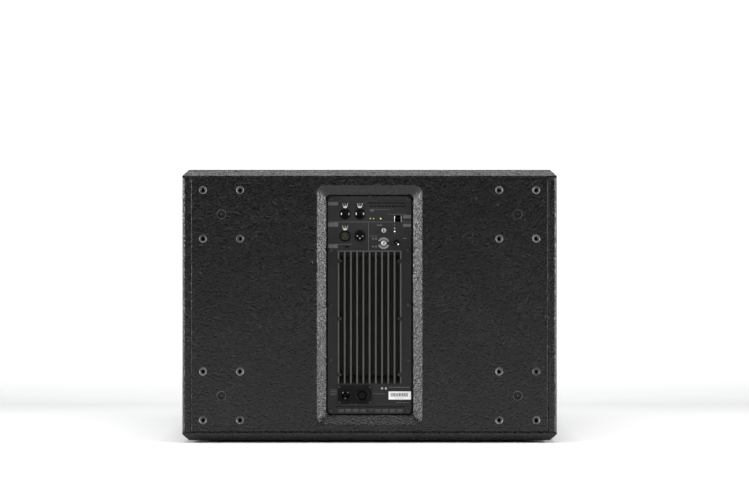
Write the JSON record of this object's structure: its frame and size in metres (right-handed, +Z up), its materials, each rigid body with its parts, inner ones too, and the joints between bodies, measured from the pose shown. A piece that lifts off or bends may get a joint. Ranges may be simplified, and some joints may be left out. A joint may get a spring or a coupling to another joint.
{
  "type": "powered subwoofer cabinet",
  "caption": "Powered subwoofer cabinet: bevelled black plywood box with a recessed amplifier panel, heatsink, sockets, controls and castor hole patterns on the rear, grille in front.",
  "frame": {"origin": "centre of the footprint, at the underside of the feet", "axes": "+X to the right seen from the rear, +Y towards the front grille, +Z up; the amplifier panel faces -Y"},
  "size_m": [0.81, 0.7, 0.591],
  "materials": {
    "painted_plywood": "pebbled black paint",
    "bare_plywood": "sanded",
    "plate_coat": "dark grey fine powder coat",
    "gasket_rubber": "matt",
    "black_screws": "black oxide",
    "zinc_steel": "zinc plated",
    "circuit_board": "satin solder mask",
    "connector_plastic": "satin moulded",
    "latch_metal": "satin nickel",
    "contact_brass": "plated",
    "knob_metal": "turned, satin",
    "light_lens": "clear yellow-green",
    "label_paper": "satin",
    "basket_aluminium": "cast, black",
    "ferrite": "matt",
    "cone_paper": "pressed pulp, black",
    "surround_cloth": "treated cloth",
    "grille_foam": "open foam",
    "grille_steel": "black powder coat",
    "handle_plastic": "moulded grain",
    "foot_rubber": "matt",
    "cable_jacket": "matt"
  },
  "bodies": {
    "cabinet": {"top_panel": "painted_plywood", "bottom_panel": "painted_plywood", "left_side_panel": "painted_plywood", "right_side_panel": "painted_plywood", "rear_panel": "painted_plywood", "front_baffle": "bare_plywood", "window_brace": "bare_plywood", "left_port_wall": "bare_plywood", "right_port_wall": "bare_plywood", "amp_mounting_frame": "bare_plywood", "grille_battens": "bare_plywood", "amp_face_plate": "plate_coat", "amp_heatsink": "plate_coat", "amp_rear_cover": "plate_coat", "amp_gasket": "gasket_rubber", "amp_plate_screws": "black_screws", "connector_screws": "black_screws", "woofer_screws": "black_screws", "cabinet_screws": "black_screws", "blanking_screws": "black_screws", "heatsink_screws": "black_screws", "castor_inserts": "zinc_steel", "woofer_yoke": "zinc_steel", "power_supply_board": "circuit_board", "amplifier_board": "circuit_board", "control_board": "circuit_board", "left_network_socket": "connector_plastic", "right_network_socket": "connector_plastic", "xlr_input_socket": "connector_plastic", "xlr_link_socket": "connector_plastic", "power_connector_flange": "connector_plastic", "power_inlet_socket": "connector_plastic", "power_outlet_socket": "connector_plastic", "toggle_switch_body": "connector_plastic", "slide_switch_body": "connector_plastic", "usb_socket": "latch_metal", "xlr_link_pins": "latch_metal", "power_inlet_contacts": "contact_brass", "indicator_lights": "light_lens", "rating_label": "label_paper", "woofer_basket": "basket_aluminium", "woofer_magnet": "ferrite", "woofer_surround": "surround_cloth", "woofer_spider": "surround_cloth", "grille_foam": "grille_foam", "grille": "grille_steel", "left_handle": "handle_plastic", "right_handle": "handle_plastic", "pole_socket": "handle_plastic", "rubber_feet": "foot_rubber", "speaker_cable": "cable_jacket"},
    "left_latch": {"left_network_latch": "latch_metal"},
    "right_latch": {"right_network_latch": "latch_metal"},
    "xlr_latch": {"xlr_input_latch": "latch_metal"},
    "gain_knob": {"gain_knob": "knob_metal"},
    "preset_knob": {"preset_knob": "knob_metal"},
    "toggle_lever": {"toggle_lever": "latch_metal"},
    "slide_switch": {"slide_switch_slider": "connector_plastic"},
    "cone": {"woofer_cone": "cone_paper", "voice_coil": "contact_brass"}
  },
  "joints": [
    {"name": "left_latch_press", "type": "slide", "parent": "cabinet", "child": "left_latch", "axis": [0, 1, 0], "range_m": [0, 0.0015], "stiffness_N_per_m": 400},
    {"name": "right_latch_press", "type": "slide", "parent": "cabinet", "child": "right_latch", "axis": [0, 1, 0], "range_m": [0, 0.0015], "stiffness_N_per_m": 400},
    {"name": "xlr_latch_press", "type": "slide", "parent": "cabinet", "child": "xlr_latch", "axis": [0, 1, 0], "range_m": [0, 0.0015], "stiffness_N_per_m": 400},
    {"name": "gain_turn", "type": "hinge", "parent": "cabinet", "child": "gain_knob", "pos_m": [0.0305, -0.34, 0.4318], "axis": [0, 1, 0], "range_deg": [-150, 150]},
    {"name": "preset_turn", "type": "hinge", "parent": "cabinet", "child": "preset_knob", "pos_m": [0.0307, -0.338, 0.4594], "axis": [0, 1, 0], "range_deg": [-150, 150]},
    {"name": "toggle_swing", "type": "hinge", "parent": "cabinet", "child": "toggle_lever", "pos_m": [0.0585, -0.338, 0.433], "axis": [0.766, 0, 0.6428], "range_deg": [-50, 0]},
    {"name": "slide_switch_move", "type": "slide", "parent": "cabinet", "child": "slide_switch", "axis": [1, 0, 0], "range_m": [-0.0028, 0.0028]},
    {"name": "cone_stroke", "type": "slide", "parent": "cabinet", "child": "cone", "axis": [0, 1, 0], "range_m": [-0.008, 0.008], "stiffness_N_per_m": 8000, "deforming": ["woofer_surround", "woofer_spider"]}
  ]
}
